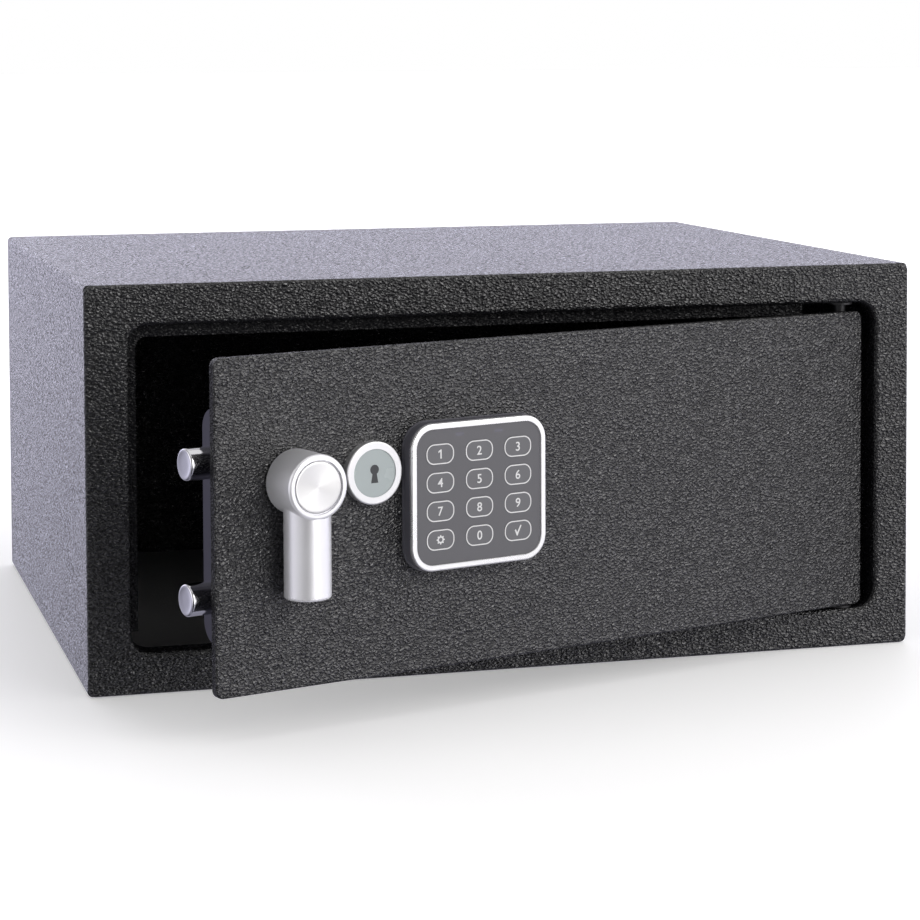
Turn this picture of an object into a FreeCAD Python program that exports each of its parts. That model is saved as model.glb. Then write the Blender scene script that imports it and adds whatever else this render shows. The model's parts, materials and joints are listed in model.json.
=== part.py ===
"""In-room safe: a sheet-steel cabinet with a hinged front door, two sliding bolts worked by a
turning handle, a push-button keypad and a key override lock.

Millimetres, +Z up. The origin is the centre of the cabinet's underside and the door faces -Y.
Each part is placed by x, by z and by its depth d behind the closed door's front face. The door
and all it carries are drawn closed, then swung ajar about the hinge pins for the rest pose.
"""

import FreeCAD, Part
import math
import os

Vector = FreeCAD.Vector

# ---------------------------------------------------------------- driving dimensions
# Cabinet
CABINET_WIDTH = 430.0
CABINET_DEPTH = 350.0
CABINET_HEIGHT = 200.0
SHEET = 2.0
CABINET_CORNER = 2.5
FRAME_CORNER = 4.0
FACE_EDGE_R = 1.5
BACK_EDGE_R = 1.2
FRONT_Y = -CABINET_DEPTH / 2

# Opening in the front frame, with folded walls that run back from the face
OPENING_LEFT = -193.5
OPENING_RIGHT = 196.5
OPENING_LOW = 20.0
OPENING_HIGH = 180.0
OPENING_CORNER = 10.0
FOLD_R = 2.5
WALL_DEPTH = 14.0
CATCH_DEPTH = 9.5

# Ledge that the closed door rests against
LEDGE_FRONT = 6.0
LEDGE_SHEET = 1.5
LEDGE_SIDE_WIDTH = 4.0
LEDGE_TOP_WIDTH = 6.0
LEDGE_RIGHT_END = 158.0
LEDGE_LOW_END = 30.0

# Fixing holes through the base and the back, and the mat on the cabinet's floor
BASE_FIXING_SPACING = 240.0
BACK_FIXING_SPACING = 160.0
FIXING_HOLE_R = 5.0
BACK_FIXING_Z = CABINET_HEIGHT / 2
MAT_THICKNESS = 2.5
MAT_MARGIN = 4.0
MAT_HOLE_R = 9.0

# Door
DOOR_LEFT = -190.0
DOOR_RIGHT = 188.5
DOOR_LOW = 21.4
DOOR_HIGH = 175.4
DOOR_THICKNESS = 4.0
DOOR_CORNER = 4.0
DOOR_EDGE_R = 1.0
AJAR_DEGREES = 17.0

# Hinge pins, pressed into the door's blocks and running in bushes in the frame
HINGE_X = 179.5
HINGE_DEPTH = 7.5
PIN_R = 3.0
RUNNING_FIT = 0.05
BUSH_R = 4.5
BUSH_FLANGE_R = 6.5
BUSH_FLANGE = 1.0
BLOCK_LEFT = 168.0
BLOCK_RIGHT = 186.5
BLOCK_TOP = DOOR_HIGH - 0.5
BLOCK_BOTTOM = BLOCK_TOP - 28.0
BLOCK_BACK = HINGE_DEPTH + 5.0
PIN_LOW = BLOCK_BOTTOM + 2.0
PIN_HIGH = OPENING_HIGH + 4.5

# Handle
HANDLE_X = -149.3
HANDLE_Z = 117.0
HUB_R = 15.0
HUB_FRONT = -22.8
HUB_EDGE_R = 1.5
LEVER_R = 10.8
LEVER_DEPTH = -11.8
LEVER_LENGTH = 51.6
LEVER_EDGE_R = 1.3
CAP_R = 11.8
CAP_RECESS_R = 12.5
CAP_FRONT = HUB_FRONT + 0.4
CAP_BACK = HUB_FRONT + 1.8
SPINDLE_R = 4.0
SPINDLE_FRONT = -14.0
WASHER = 0.8
CLIP_FRONT = 6.15
CLIP_BACK = 6.95
CLIP_R = 6.5

# Bolts and the carriage that moves them
BOLT_R = 7.5
BOLT_DEPTH = 17.5
BOLT_HEIGHTS = (64.4, 126.2)
BOLT_TIP = -196.3
BOLT_TIP_BEVEL = 1.4
BOLT_THROW = 10.0
BOLT_SCREW_R = 2.5
BOLT_SCREW_HEAD_R = 4.5
BOLT_SCREW_LENGTH = 11.0
CARRIAGE_LEFT = -165.0
CARRIAGE_RIGHT = -135.0
CARRIAGE_LOW = 56.0
CARRIAGE_HIGH = 136.0
CARRIAGE_FRONT = 10.0
CARRIAGE_BACK = 12.0
CARRIAGE_FLANGE_BACK = 26.0
HANDLE_TURN = 70.0
CRANK_R = BOLT_THROW / (2 * math.sin(math.radians(HANDLE_TURN / 2)))
CRANK_FRONT = 7.2
CRANK_BACK = 9.7
CRANK_PIN_R = 3.0
CRANK_SLOT_SLACK = 0.2

# Lock bracket and the cover over the whole lock
BRACKET_LEFT = -180.5
BRACKET_RIGHT = -91.0
BRACKET_BACK = DOOR_THICKNESS + SHEET
BRACKET_INSET = 1.5
COVER_LEFT = BRACKET_LEFT + SHEET + 0.1
COVER_RIGHT = 104.0
COVER_LOW = 42.0
COVER_HIGH = 150.0
COVER_DEPTH = 30.0
COVER_SHEET = 1.2
COVER_CORNER = 10.0
COVER_FOOT = 10.0

# Solenoid that blocks the carriage
SOLENOID_X = -112.0
SOLENOID_DEPTH = 13.5
SOLENOID_HALF_WIDTH = 11.0
SOLENOID_SHEET = 1.5
SOLENOID_LOW = 48.5
SOLENOID_HIGH = 66.5
COIL_R = 6.6
COIL_FLANGE_R = 7.3
PLUNGER_R = 4.0
PLUNGER_TIP = 77.5
PLUNGER_LENGTH = 24.0
PLUNGER_TRAVEL = 4.0
COLLAR_R = 5.5
COLLAR_LOW = 70.6
COLLAR_HIGH = 72.0
SPRING_R = 4.75
SPRING_WIRE_R = 0.35
SPRING_TURNS = 3

# The carriage's tail, with the notch for the plunger and the slot for its guide stud
TAIL_RIGHT = -102.0
TAIL_LOW = 78.0
TAIL_HIGH = 98.0
TAIL_MIDDLE_Z = (TAIL_LOW + TAIL_HIGH) / 2
GUIDE_X = -124.0
GUIDE_R = 2.5

# Key override lock and the badge that covers it
LOCK_X = -109.0
LOCK_Z = 117.4
BARREL_R = 9.5
BARREL_FRONT = -2.0
BARREL_BACK = 16.0
PLUG_R = 6.5
PLUG_TAIL = 20.0
CAM_FRONT = 16.4
CAM_BACK = 18.4
BADGE_R = 14.8
BADGE_HEIGHT = 4.0
BADGE_DISC_R = 11.25

# Keypad
KEYPAD_X = -54.0
KEYPAD_Z = 103.7
KEYPAD_WIDTH = 75.5
KEYPAD_HEIGHT = 69.8
KEYPAD_CORNER = 12.0
HOUSING_FRONT = -6.2
HOUSING_WALL = 2.0
HOUSING_LIP = 0.5
HOUSING_LIP_FRONT = -0.8
KEYPAD_FLOOR = -1.2
SWITCH_BOARD_FRONT = -2.8
KEY_MAT_FRONT = -4.4
SWITCH_WIDTH = 60.0
SWITCH_HEIGHT = 62.0
BEZEL_FRONT = -8.0
BEZEL_WIDTH = 3.0
BEZEL_EDGE_R = 0.8
PANEL_FRONT = -7.4
PANEL_BACK = -5.9
KEY_NAMES = (
    ("key_1", "key_2", "key_3"),
    ("key_4", "key_5", "key_6"),
    ("key_7", "key_8", "key_9"),
    ("key_settings", "key_0", "key_enter"),
)
KEY_WIDTH = 15.2
KEY_HEIGHT = 9.6
KEY_CORNER = 4.3
KEY_COLUMN_PITCH = 21.75
KEY_ROW_PITCH = 13.45
KEY_TOP_ROW_Z = 123.9
KEY_CLEARANCE = 0.15
KEY_SKIRT = 0.8
LED_HEIGHT = 8.6
KEYPAD_SCREW_R = 1.5
KEYPAD_SCREW_OFFSET = 33.0
KEYPAD_SCREW_FRONT = -4.0
KEYPAD_BOSS_FRONT = -4.6

# Battery compartment
CELL_R = 7.1
CELL_LENGTH = 50.0
CELL_PITCH = 14.5
CELL_COUNT = 4
HOLDER_LEFT = 38.0
HOLDER_RIGHT = 98.0
HOLDER_LOW = 68.0
HOLDER_HIGH = 130.0
HOLDER_FRONT = 10.0
HOLDER_WALL = 1.5
CELL_DEPTH = 19.0
LID_SHEET = 2.0
RAIL_BACK = COVER_DEPTH + 3.4
RAIL_LIP = RAIL_BACK - 1.2
RAIL_TOP = HOLDER_HIGH + 2.5

# M4 studs welded to the back of the door: (x, z)
STUD_R = 2.0
STUD_END = 9.8
NUT_FLATS = 7.0
NUT_HEIGHT = 3.0
BRACKET_STUDS = ((-171.5, 50.5), (-171.5, 143.5), (-96.5, 55.0), (-96.5, 143.0))
COVER_STUDS = ((-165.0, 37.0), (-165.0, 155.0), (92.0, 37.0), (92.0, 155.0))
STAND_OFF_R = 2.5
BOARD_LEFT = -82.0
BOARD_RIGHT = -20.0
BOARD_LOW = 72.0
BOARD_HIGH = 136.0
BOARD_FRONT = 10.0
BOARD_BACK = 11.6


# ---------------------------------------------------------------- shape helpers
def box(x0, x1, d0, d1, z0, z1):
    """A block between two corners."""
    corner = Vector(x0, FRONT_Y + d0, z0)
    return Part.makeBox(x1 - x0, d1 - d0, z1 - z0, corner)


def rod_x(x0, x1, depth, z, radius):
    """A round bar along X."""
    start = Vector(x0, FRONT_Y + depth, z)
    return Part.makeCylinder(radius, x1 - x0, start, Vector(1, 0, 0))


def rod_y(x, z, radius, d0, d1):
    """A round bar through the door's thickness."""
    start = Vector(x, FRONT_Y + d0, z)
    return Part.makeCylinder(radius, d1 - d0, start, Vector(0, 1, 0))


def rod_z(x, depth, radius, z0, z1):
    """An upright round bar."""
    start = Vector(x, FRONT_Y + depth, z0)
    return Part.makeCylinder(radius, z1 - z0, start, Vector(0, 0, 1))


def runs_along(edge, axis):
    """True when a straight edge is parallel to the axis."""
    if not isinstance(edge.Curve, Part.Line):
        return False
    return abs(abs(edge.tangentAt(edge.FirstParameter).dot(axis)) - 1) < 1e-6


def at_depth(edge, depth):
    """True when the whole edge lies in the plane at this depth."""
    limits = edge.BoundBox
    y = FRONT_Y + depth
    return abs(limits.YMin - y) < 1e-5 and abs(limits.YMax - y) < 1e-5


def near_axis(edge, x, z, radius):
    """True when the edge's box stays within a square around an axis through the door."""
    limits = edge.BoundBox
    inside_x = limits.XMin > x - radius and limits.XMax < x + radius
    inside_z = limits.ZMin > z - radius and limits.ZMax < z + radius
    return inside_x and inside_z


def round_off(shape, radius, wanted):
    """Fillet the edges that the test picks out."""
    return shape.makeFillet(radius, [edge for edge in shape.Edges if wanted(edge)])


def bevel(shape, size, wanted):
    """Chamfer the edges that the test picks out."""
    return shape.makeChamfer(size, [edge for edge in shape.Edges if wanted(edge)])


def slab(x0, x1, z0, z1, d0, d1, corner):
    """A flat plate parallel to the door, with rounded corners."""
    plate = box(x0, x1, d0, d1, z0, z1)
    return round_off(plate, corner, lambda edge: runs_along(edge, Vector(0, 1, 0)))


def centred_slab(x, z, width, height, d0, d1, corner):
    """A rounded plate given by its centre."""
    return slab(x - width / 2, x + width / 2, z - height / 2, z + height / 2, d0, d1, corner)


def hex_nut(x, z, across_flats, bore_r, d0, d1):
    """A hexagonal nut whose axis runs through the door."""
    corner_r = across_flats / math.sqrt(3)
    points = []
    for step in range(7):
        angle = math.radians(60 * step)
        place = Vector(x + corner_r * math.cos(angle), FRONT_Y + d0, z + corner_r * math.sin(angle))
        points.append(place)
    body = Part.Face(Part.makePolygon(points)).extrude(Vector(0, d1 - d0, 0))
    return body.cut(rod_y(x, z, bore_r, d0, d1))


def mirror_height(shape):
    """The same shape turned upside down about the opening's middle height."""
    middle = (OPENING_LOW + OPENING_HIGH) / 2
    return shape.mirror(Vector(0, 0, middle), Vector(0, 0, 1))


def tube_through(points, radius):
    """A round cable that bends smoothly through the given (x, depth, z) points."""
    places = [Vector(x, FRONT_Y + depth, z) for x, depth, z in points]
    curve = Part.BSplineCurve()
    curve.interpolate(places)
    start_direction = curve.tangent(curve.FirstParameter)[0]
    profile = Part.Wire(Part.makeCircle(radius, places[0], start_direction))
    return Part.Wire(curve.toShape()).makePipeShell([profile], True, False)


# ---------------------------------------------------------------- cabinet
def cabinet_shell():
    """Top, bottom and sides, wrapped from one sheet, with two fixing holes in the base."""
    half = CABINET_WIDTH / 2
    back = CABINET_DEPTH - SHEET
    outer = slab(-half, half, 0, CABINET_HEIGHT, SHEET, back, CABINET_CORNER)
    inner = slab(-half + SHEET, half - SHEET, SHEET, CABINET_HEIGHT - SHEET, SHEET, back,
                 CABINET_CORNER - SHEET)
    wrap = outer.cut(inner)
    for x in (-BASE_FIXING_SPACING / 2, BASE_FIXING_SPACING / 2):
        wrap = wrap.cut(rod_z(x, CABINET_DEPTH / 2, FIXING_HOLE_R, 0, SHEET))
    return wrap


def back_panel():
    """Rear sheet with two fixing holes."""
    half = CABINET_WIDTH / 2
    panel = slab(-half, half, 0, CABINET_HEIGHT, CABINET_DEPTH - SHEET, CABINET_DEPTH, CABINET_CORNER)
    panel = round_off(panel, BACK_EDGE_R, lambda edge: at_depth(edge, CABINET_DEPTH))
    for x in (-BACK_FIXING_SPACING / 2, BACK_FIXING_SPACING / 2):
        panel = panel.cut(rod_y(x, BACK_FIXING_Z, FIXING_HOLE_R, CABINET_DEPTH - SHEET, CABINET_DEPTH))
    return panel


def opening_slab(grow, d0, d1):
    """The opening's outline, grown outwards by the given distance."""
    return slab(OPENING_LEFT - grow, OPENING_RIGHT + grow, OPENING_LOW - grow, OPENING_HIGH + grow,
                d0, d1, OPENING_CORNER + grow)


def front_frame():
    """Front face folded back into walls around the opening, with a rounded fold."""
    half = CABINET_WIDTH / 2
    face = slab(-half, half, 0, CABINET_HEIGHT, 0, SHEET, FRAME_CORNER)
    frame = face.fuse(opening_slab(SHEET, SHEET, WALL_DEPTH)).cut(opening_slab(0, 0, WALL_DEPTH))
    frame = frame.removeSplitter()
    frame = round_off(frame, FOLD_R, lambda edge: at_depth(edge, 0) and inside_opening(edge))
    frame = round_off(frame, FACE_EDGE_R, lambda edge: at_depth(edge, 0) and not inside_fold(edge))
    catch_cut = box(OPENING_LEFT - 2 * SHEET, OPENING_LEFT + SHEET, CATCH_DEPTH, WALL_DEPTH,
                    min(BOLT_HEIGHTS) - 2 * BOLT_R, max(BOLT_HEIGHTS) + 2 * BOLT_R)
    frame = frame.cut(catch_cut)
    for bush in (bush_at_top(BUSH_R), mirror_height(bush_at_top(BUSH_R))):
        frame = frame.cut(bush)
    return frame


def inside_opening(edge):
    """True for an edge of the opening itself."""
    limits = edge.BoundBox
    return limits.XMin > OPENING_LEFT - 0.01 and limits.XMax < OPENING_RIGHT + 0.01


def inside_fold(edge):
    """True for an edge within the rounded fold around the opening."""
    limits = edge.BoundBox
    inside_x = limits.XMin > OPENING_LEFT - 2 * FOLD_R and limits.XMax < OPENING_RIGHT + 2 * FOLD_R
    return inside_x and limits.ZMin > OPENING_LOW - 2 * FOLD_R and limits.ZMax < OPENING_HIGH + 2 * FOLD_R


def door_stop():
    """Narrow ledge along the top and left of the opening, cut short where the door swings in."""
    back = LEDGE_FRONT + LEDGE_SHEET
    inner = slab(OPENING_LEFT + LEDGE_SIDE_WIDTH, OPENING_RIGHT + 20, 0, OPENING_HIGH - LEDGE_TOP_WIDTH,
                 LEDGE_FRONT, back, OPENING_CORNER - LEDGE_SIDE_WIDTH)
    ledge = opening_slab(0, LEDGE_FRONT, back).cut(inner)
    hinge_relief = box(LEDGE_RIGHT_END, OPENING_RIGHT, LEDGE_FRONT, back, 0, CABINET_HEIGHT)
    below = box(OPENING_LEFT, OPENING_RIGHT, LEDGE_FRONT, back, 0, LEDGE_LOW_END)
    return ledge.cut(hinge_relief).cut(below)


def bush_at_top(radius):
    """Solid outline of the upper bush's barrel."""
    return rod_z(HINGE_X, HINGE_DEPTH, radius, OPENING_HIGH, OPENING_HIGH + SHEET + 1)


def hinge_bushes():
    """Two bushes in the frame's top and bottom walls, their flanges trimmed to the opening."""
    flange = rod_z(HINGE_X, HINGE_DEPTH, BUSH_FLANGE_R, OPENING_HIGH - BUSH_FLANGE, OPENING_HIGH)
    flange = flange.common(opening_slab(0, 0, 2 * WALL_DEPTH))
    bore = rod_z(HINGE_X, HINGE_DEPTH, PIN_R + RUNNING_FIT, OPENING_HIGH - 10, OPENING_HIGH + 10)
    upper = bush_at_top(BUSH_R).fuse(flange).cut(bore).removeSplitter()
    return Part.makeCompound([upper, mirror_height(upper)])


def floor_mat():
    """Soft mat on the cabinet's floor, cut round the fixing bolts."""
    half = CABINET_WIDTH / 2 - SHEET - MAT_MARGIN
    mat = slab(-half, half, SHEET, SHEET + MAT_THICKNESS, WALL_DEPTH + MAT_MARGIN,
               CABINET_DEPTH - SHEET - MAT_MARGIN, 1)
    for x in (-BASE_FIXING_SPACING / 2, BASE_FIXING_SPACING / 2):
        mat = mat.cut(rod_z(x, CABINET_DEPTH / 2, MAT_HOLE_R, SHEET, SHEET + MAT_THICKNESS))
    return mat


def cabinet_parts():
    return {
        "cabinet_shell": cabinet_shell(),
        "back_panel": back_panel(),
        "front_frame": front_frame(),
        "door_stop": door_stop(),
        "hinge_bushes": hinge_bushes(),
        "floor_mat": floor_mat(),
    }


# ---------------------------------------------------------------- door
def keypad_screw_columns():
    """x of the two screws that hold the keypad."""
    return (KEYPAD_X - KEYPAD_SCREW_OFFSET, KEYPAD_X + KEYPAD_SCREW_OFFSET)


def cable_slot(d0, d1):
    """Slot behind the keypad for its ribbon cable."""
    return centred_slab(KEYPAD_X, KEYPAD_Z, 16, 6, d0, d1, 2.9)


def door_plate():
    """Thick door plate with the holes for the handle, the lock and the keypad."""
    plate = slab(DOOR_LEFT, DOOR_RIGHT, DOOR_LOW, DOOR_HIGH, 0, DOOR_THICKNESS, DOOR_CORNER)
    plate = round_off(plate, DOOR_EDGE_R, lambda edge: at_depth(edge, 0))
    plate = plate.cut(rod_y(HANDLE_X, HANDLE_Z, SPINDLE_R + RUNNING_FIT, 0, DOOR_THICKNESS))
    plate = plate.cut(rod_y(LOCK_X, LOCK_Z, BARREL_R, 0, DOOR_THICKNESS))
    plate = plate.cut(cable_slot(0, DOOR_THICKNESS))
    for x in keypad_screw_columns():
        plate = plate.cut(rod_y(x, KEYPAD_Z, KEYPAD_SCREW_R + 2 * RUNNING_FIT, 0, DOOR_THICKNESS))
    return plate


def hinge_blocks():
    """Two blocks welded behind the door, each holding one pin."""
    block = box(BLOCK_LEFT, BLOCK_RIGHT, DOOR_THICKNESS, BLOCK_BACK, BLOCK_BOTTOM, BLOCK_TOP)
    block = round_off(block, 3.0, lambda edge: runs_along(edge, Vector(0, 0, 1))
                      and edge.BoundBox.YMin > FRONT_Y + HINGE_DEPTH)
    block = block.cut(rod_z(HINGE_X, HINGE_DEPTH, PIN_R, PIN_LOW, BLOCK_TOP))
    return Part.makeCompound([block, mirror_height(block)])


def hinge_pins():
    """Two steel pins with lead-in ends."""
    pin = rod_z(HINGE_X, HINGE_DEPTH, PIN_R, PIN_LOW, PIN_HIGH)
    pin = bevel(pin, 0.6, lambda edge: edge.BoundBox.ZMin > PIN_HIGH - 0.01)
    return Part.makeCompound([pin, mirror_height(pin)])


def door_studs():
    """Threaded studs and board stand-offs welded to the back of the door."""
    studs = [rod_y(x, z, STUD_R, DOOR_THICKNESS, STUD_END) for x, z in BRACKET_STUDS + COVER_STUDS]
    for x in (BOARD_LEFT + 3, BOARD_RIGHT - 3):
        for z in (BOARD_LOW + 3, BOARD_HIGH - 3):
            studs.append(rod_y(x, z, STAND_OFF_R, DOOR_THICKNESS, BOARD_FRONT))
    return Part.makeCompound(studs)


def stud_nuts():
    """M4 nuts that hold the lock bracket and the cover on their studs."""
    foot_back = DOOR_THICKNESS + COVER_SHEET
    nuts = []
    for places, front in ((BRACKET_STUDS, BRACKET_BACK), (COVER_STUDS, foot_back)):
        nuts += [hex_nut(x, z, NUT_FLATS, STUD_R, front, front + NUT_HEIGHT) for x, z in places]
    return Part.makeCompound(nuts)


def lock_bracket():
    """Folded bracket: a base on the door and a flange that guides both bolts."""
    base = box(BRACKET_LEFT, BRACKET_RIGHT, DOOR_THICKNESS, BRACKET_BACK,
               COVER_LOW + BRACKET_INSET, COVER_HIGH - BRACKET_INSET)
    flange = box(BRACKET_LEFT, BRACKET_LEFT + SHEET, DOOR_THICKNESS, COVER_DEPTH, COVER_LOW, COVER_HIGH)
    flange = round_off(flange, COVER_CORNER, lambda edge: runs_along(edge, Vector(1, 0, 0))
                       and edge.BoundBox.YMin > FRONT_Y + COVER_DEPTH - 0.01)
    bracket = base.fuse(flange).removeSplitter()
    for z in BOLT_HEIGHTS:
        guide = rod_x(BRACKET_LEFT, BRACKET_LEFT + SHEET, BOLT_DEPTH, z, BOLT_R + RUNNING_FIT)
        bracket = bracket.cut(guide)
    bracket = bracket.cut(rod_y(HANDLE_X, HANDLE_Z, SPINDLE_R + RUNNING_FIT, DOOR_THICKNESS, BRACKET_BACK))
    bracket = bracket.cut(rod_y(LOCK_X, LOCK_Z, BARREL_R, DOOR_THICKNESS, BRACKET_BACK))
    for x, z in BRACKET_STUDS:
        bracket = bracket.cut(rod_y(x, z, STUD_R, DOOR_THICKNESS, BRACKET_BACK))
    return bracket.fuse(carriage_stud()).removeSplitter()


def carriage_stud():
    """Shouldered stud riveted into the bracket, which keeps the carriage level."""
    return rod_y(GUIDE_X, TAIL_MIDDLE_Z, GUIDE_R, DOOR_THICKNESS + 1, CARRIAGE_BACK + 0.5)


def cover_box(grow):
    """The cover's outline, grown or shrunk by the given distance on its closed sides."""
    shape = box(COVER_LEFT, COVER_RIGHT + grow, DOOR_THICKNESS, COVER_DEPTH + grow,
                COVER_LOW - grow, COVER_HIGH + grow)
    return round_off(shape, COVER_CORNER + grow, lambda edge: runs_along(edge, Vector(1, 0, 0))
                     and edge.BoundBox.YMin > FRONT_Y + COVER_DEPTH + grow - 0.01)


def lid_rail():
    """Upper rail on the cover that the battery lid slides under."""
    post = box(HOLDER_LEFT, HOLDER_RIGHT, COVER_DEPTH, RAIL_BACK, HOLDER_HIGH + 1, RAIL_TOP)
    lip = box(HOLDER_LEFT, HOLDER_RIGHT, RAIL_LIP, RAIL_BACK, HOLDER_HIGH - 1, RAIL_TOP)
    return post.fuse(lip)


def inner_cover():
    """Pressed cover over the lock, open towards the bolts, with a battery window and lid rails."""
    cover = cover_box(0).cut(cover_box(-COVER_SHEET))
    foot_top = DOOR_THICKNESS + COVER_SHEET
    cover = cover.fuse([
        box(COVER_LEFT, COVER_RIGHT, DOOR_THICKNESS, foot_top, COVER_LOW - COVER_FOOT, COVER_LOW),
        box(COVER_LEFT, COVER_RIGHT, DOOR_THICKNESS, foot_top, COVER_HIGH, COVER_HIGH + COVER_FOOT),
    ])
    window = slab(HOLDER_LEFT + 2, HOLDER_RIGHT - 2, HOLDER_LOW + 2, HOLDER_HIGH - 2,
                  COVER_DEPTH - 5, COVER_DEPTH + 5, 2)
    cover = cover.cut(window)
    for x, z in COVER_STUDS:
        cover = cover.cut(rod_y(x, z, STUD_R, DOOR_THICKNESS, foot_top))
    middle = (HOLDER_LOW + HOLDER_HIGH) / 2
    upper_rail = lid_rail()
    lower_rail = upper_rail.mirror(Vector(0, 0, middle), Vector(0, 0, 1))
    return cover.fuse([upper_rail, lower_rail]).removeSplitter()


def battery_lid():
    """Sliding lid with a ribbed thumb grip."""
    front = COVER_DEPTH + 0.1
    back = front + LID_SHEET
    middle = (HOLDER_LOW + HOLDER_HIGH) / 2
    lid = box(HOLDER_LEFT, HOLDER_RIGHT, front, back, HOLDER_LOW - 0.9, HOLDER_HIGH + 0.9)
    for rib in range(4):
        x = HOLDER_LEFT + 8 + 3 * rib
        lid = lid.fuse(box(x, x + 1.2, back - 0.5, back + 1, middle - 10, middle + 10))
    return lid.removeSplitter()


def cell_rows():
    """z of each battery cell's axis."""
    middle = (HOLDER_LOW + HOLDER_HIGH) / 2
    first = middle - CELL_PITCH * (CELL_COUNT - 1) / 2
    return [first + CELL_PITCH * number for number in range(CELL_COUNT)]


def battery_holder():
    """Open plastic tray for the cells."""
    tray = slab(HOLDER_LEFT, HOLDER_RIGHT, HOLDER_LOW, HOLDER_HIGH, HOLDER_FRONT,
                COVER_DEPTH - COVER_SHEET - 0.1, 2 * HOLDER_WALL)
    hollow = slab(HOLDER_LEFT + HOLDER_WALL, HOLDER_RIGHT - HOLDER_WALL, HOLDER_LOW + HOLDER_WALL,
                  HOLDER_HIGH - HOLDER_WALL, HOLDER_FRONT + HOLDER_WALL, COVER_DEPTH, HOLDER_WALL)
    tray = tray.cut(hollow)
    for x in (HOLDER_LEFT + 6, HOLDER_RIGHT - 6):
        for z in (HOLDER_LOW + 6, HOLDER_HIGH - 6):
            tray = tray.fuse(rod_y(x, z, 3, DOOR_THICKNESS, HOLDER_FRONT + 0.5))
    return tray.removeSplitter()


def batteries():
    """Four AA cells, each turned end for end from its neighbour."""
    cells = []
    middle_x = (HOLDER_LEFT + HOLDER_RIGHT) / 2
    end = middle_x + CELL_LENGTH / 2
    for number, z in enumerate(cell_rows()):
        cell = rod_x(middle_x - CELL_LENGTH / 2, end - 1, CELL_DEPTH, z, CELL_R)
        cell = cell.fuse(rod_x(end - 1.5, end, CELL_DEPTH, z, 2.7))
        if number % 2:
            cell = cell.mirror(Vector(middle_x, 0, 0), Vector(1, 0, 0))
        cells.append(cell)
    return Part.makeCompound(cells)


def battery_contacts():
    """A sprung metal tab at each end of every cell."""
    tabs = []
    front = CELL_DEPTH - 6
    back = CELL_DEPTH + 7
    left = HOLDER_LEFT + HOLDER_WALL
    right = HOLDER_RIGHT - HOLDER_WALL
    for z in cell_rows():
        tabs.append(box(left, left + 0.5, front, back, z - 5, z + 5))
        tabs.append(box(right - 0.5, right, front, back, z - 5, z + 5))
    return Part.makeCompound(tabs)


def battery_wires():
    """Two wires from the battery tray to the circuit board."""
    wires = []
    for z in (96.0, 101.0):
        path = ((HOLDER_LEFT - 1, 15.0, z), (25.0, 9.0, z), (0.0, 8.0, z - 3), (BOARD_RIGHT + 1, 10.8, z))
        wires.append(tube_through(path, 0.7))
    return Part.makeCompound(wires)


def circuit_board():
    """Control board with its larger components."""
    board = box(BOARD_LEFT, BOARD_RIGHT, BOARD_FRONT, BOARD_BACK, BOARD_LOW, BOARD_HIGH)
    connector = box(-62.0, -41.0, BOARD_BACK, BOARD_BACK + 6, 76, 82)
    chip = box(-58.0, -46.0, BOARD_BACK, BOARD_BACK + 1.8, 112, 124)
    relay = box(-76.0, -66.0, BOARD_BACK, BOARD_BACK + 8, 112, 128)
    capacitor = rod_y(-31.0, 124.0, 4.0, BOARD_BACK, BOARD_BACK + 11)
    board = board.fuse([connector, chip, relay, capacitor]).removeSplitter()
    return board.cut(cable_slot(BOARD_FRONT, BOARD_BACK))


def keypad_cable():
    """Flat ribbon from the keypad through the door to the board."""
    return centred_slab(KEYPAD_X, KEYPAD_Z, 11, 1.2, KEYPAD_FLOOR, BOARD_BACK, 0.5)


def solenoid_frame():
    """Folded steel frame round the solenoid coil."""
    left = SOLENOID_X - SOLENOID_HALF_WIDTH
    right = SOLENOID_X + SOLENOID_HALF_WIDTH
    back = 2 * SOLENOID_DEPTH - BRACKET_BACK
    frame = box(left, right, BRACKET_BACK, back, SOLENOID_LOW, SOLENOID_HIGH)
    inside = box(left + SOLENOID_SHEET, right - SOLENOID_SHEET, BRACKET_BACK, back,
                 SOLENOID_LOW + SOLENOID_SHEET, SOLENOID_HIGH - SOLENOID_SHEET)
    bore = rod_z(SOLENOID_X, SOLENOID_DEPTH, PLUNGER_R + RUNNING_FIT, SOLENOID_HIGH - 2, SOLENOID_HIGH)
    return frame.cut(inside).cut(bore)


def solenoid_coil():
    """Wound coil with flanged ends and a bore for the plunger."""
    low = SOLENOID_LOW + SOLENOID_SHEET
    high = SOLENOID_HIGH - SOLENOID_SHEET
    coil = rod_z(SOLENOID_X, SOLENOID_DEPTH, COIL_R, low, high)
    for flange_low in (low, high - 1):
        coil = coil.fuse(rod_z(SOLENOID_X, SOLENOID_DEPTH, COIL_FLANGE_R, flange_low, flange_low + 1))
    coil = coil.removeSplitter()
    return coil.cut(rod_z(SOLENOID_X, SOLENOID_DEPTH, PLUNGER_R + RUNNING_FIT, low + 2, high))


def solenoid_plunger():
    """Plunger with a collar for its spring; its tip enters the carriage's notch."""
    low = PLUNGER_TIP - PLUNGER_LENGTH
    plunger = rod_z(SOLENOID_X, SOLENOID_DEPTH, PLUNGER_R, low, PLUNGER_TIP)
    plunger = bevel(plunger, 0.5, lambda edge: edge.BoundBox.ZMin > PLUNGER_TIP - 0.01)
    collar = rod_z(SOLENOID_X, SOLENOID_DEPTH, COLLAR_R, COLLAR_LOW, COLLAR_HIGH)
    return plunger.fuse(collar).removeSplitter()


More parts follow.
